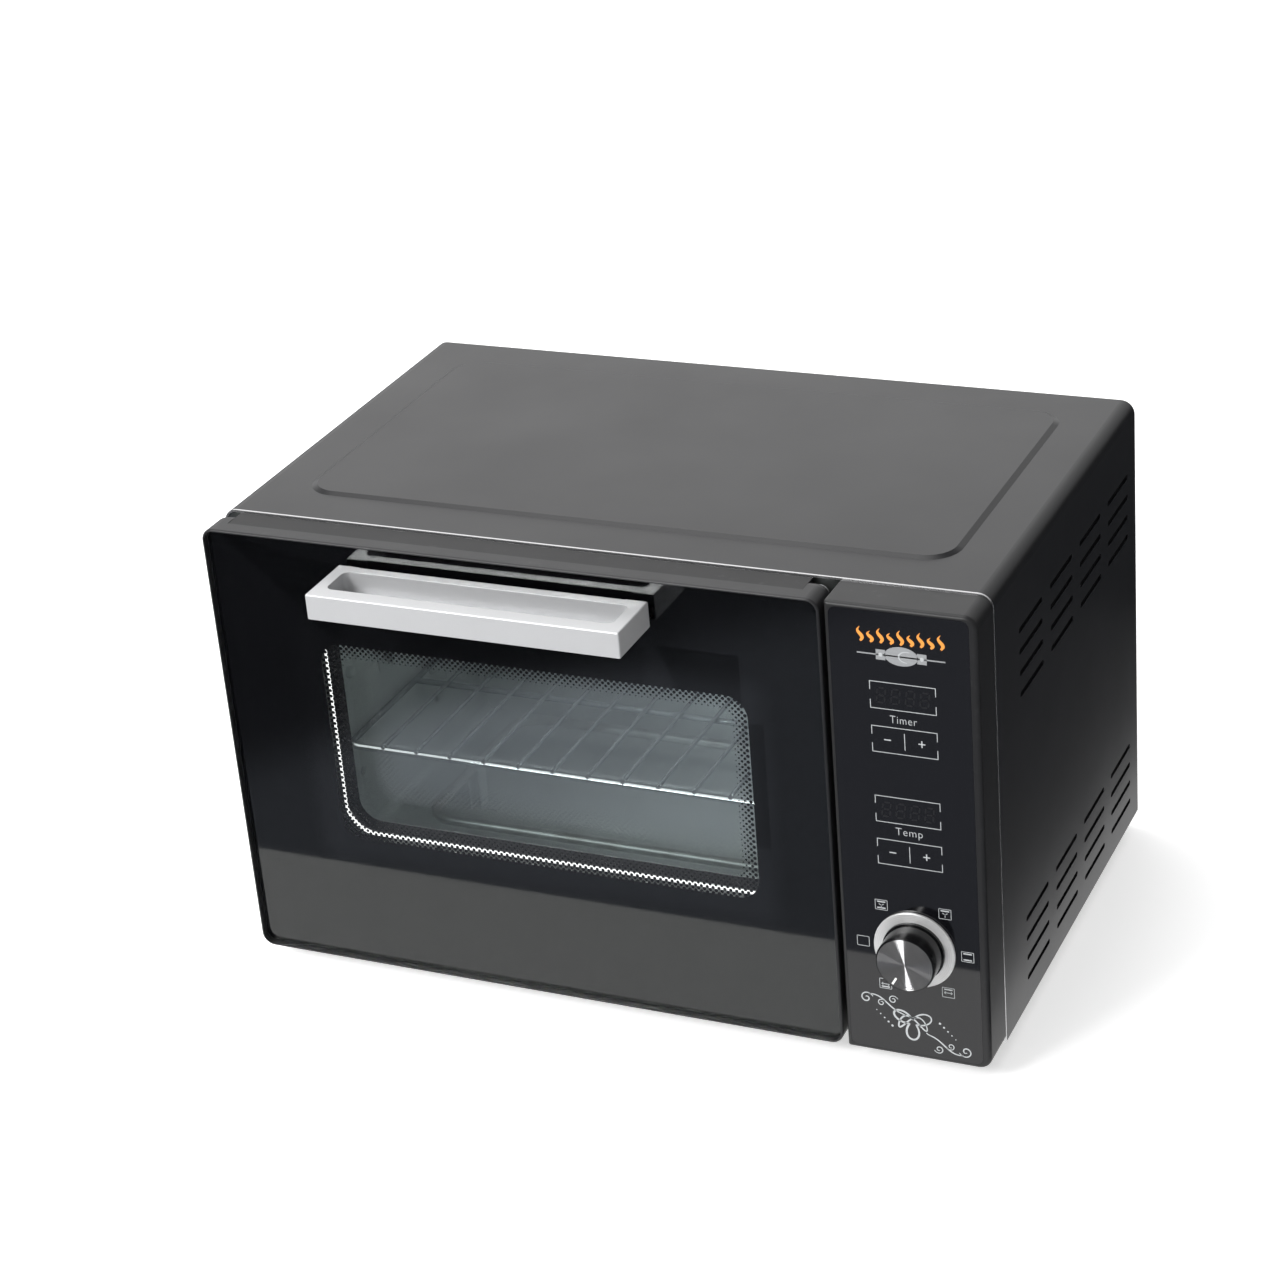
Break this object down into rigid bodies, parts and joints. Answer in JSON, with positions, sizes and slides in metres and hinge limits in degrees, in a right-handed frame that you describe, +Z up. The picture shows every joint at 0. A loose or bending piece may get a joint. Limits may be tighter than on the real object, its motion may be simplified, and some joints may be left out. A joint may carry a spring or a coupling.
{
  "type": "rotisserie oven",
  "caption": "Bench-top rotisserie oven with a drop-down glass door, bar handle, wire rack, turning spit drive and a side control panel with a selector knob.",
  "frame": {"origin": "middle of the footprint of the whole oven, handle included, on the table under the feet", "axes": "+Z up, +Y from the door to the back, +X to the right seen from the front"},
  "size_m": [0.48, 0.3532, 0.3001],
  "materials": {
    "case_paint": "satin black powder coat",
    "liner_steel": "satin aluminised steel",
    "frame_steel": "black coated sheet",
    "zinc_steel": "zinc plated",
    "chrome_wire": "bright chrome",
    "heater_tube": "bright stainless",
    "gloss_black": "gloss black moulding",
    "overlay_black": "gloss black printed sheet",
    "black_glass": "black-printed tempered glass with a clear window",
    "clear_glass": "clear tempered glass",
    "silver_satin": "satin silver",
    "knob_black": "black moulding",
    "spun_metal": "spun, black anodised",
    "pointer_white": "white inlay",
    "ceramic": "unglazed ceramic look",
    "foot_rubber": "matt",
    "moulded_black": "matt black moulding",
    "board_green": "solder mask",
    "brass_contact": "plain"
  },
  "bodies": {
    "root": {"outer_case": "case_paint", "back_cover": "case_paint", "base_plate": "zinc_steel", "front_frame": "frame_steel", "foot_1": "foot_rubber", "foot_2": "foot_rubber", "foot_3": "foot_rubber", "foot_4": "foot_rubber", "foot_screws": "zinc_steel", "base_screws": "zinc_steel", "back_screws": "zinc_steel", "cavity": "liner_steel", "cavity_rivets": "chrome_wire", "lower_heater": "heater_tube", "upper_heater": "heater_tube", "heater_insulators": "ceramic", "heater_clips": "liner_steel", "motor_bracket": "zinc_steel", "spit_motor": "zinc_steel", "spit_support": "liner_steel", "motor_screws": "zinc_steel", "hinge_arm_left": "zinc_steel", "hinge_arm_right": "zinc_steel", "hinge_screws": "zinc_steel", "control_panel": "gloss_black", "control_overlay": "overlay_black", "timer_display": "moulded_black", "temperature_display": "moulded_black", "key_springs": "brass_contact", "control_board": "board_green", "board_posts": "moulded_black", "rotary_switch": "moulded_black", "panel_screws": "zinc_steel", "cord_gland": "moulded_black", "power_board": "board_green", "power_posts": "moulded_black", "temperature_sensor": "heater_tube", "thermal_cutout": "ceramic"},
    "door": {"door_bezel": "gloss_black", "door_glass": "black_glass", "door_inner_panel": "frame_steel", "door_inner_glass": "clear_glass", "glass_clips": "zinc_steel", "door_top_strip": "moulded_black", "handle": "silver_satin", "handle_bolts": "zinc_steel", "door_screws": "zinc_steel", "hinge_pins": "zinc_steel"},
    "knob": {"knob_body": "knob_black", "knob_ring": "silver_satin", "knob_cap": "spun_metal", "knob_pointer": "pointer_white", "knob_shaft": "zinc_steel"},
    "spit_drive": {"spit_coupling": "chrome_wire", "motor_shaft": "zinc_steel"},
    "rack": {"wire_rack": "chrome_wire"}
  },
  "joints": [
    {"name": "door_hinge", "type": "hinge", "parent": "root", "child": "door", "pos_m": [-0.045, -0.12135, 0.02], "axis": [1, 0, 0], "range_deg": [0, 80]},
    {"name": "knob_turn", "type": "hinge", "parent": "root", "child": "knob", "pos_m": [0.197, -0.13515, 0.0842], "axis": [0, 1, 0], "range_deg": [0, 300]},
    {"name": "spit_turn", "type": "hinge", "parent": "root", "child": "spit_drive", "pos_m": [0.1274, 0.02265, 0.152], "axis": [1, 0, 0], "continuous": true},
    {"name": "rack_slide", "type": "slide", "parent": "root", "child": "rack", "axis": [0, -1, 0], "range_m": [0, 0.06]}
  ],
  "couplings": [
    {"joint": "rack_slide", "follows": "door_hinge", "m_per_rad": 0.0425}
  ]
}
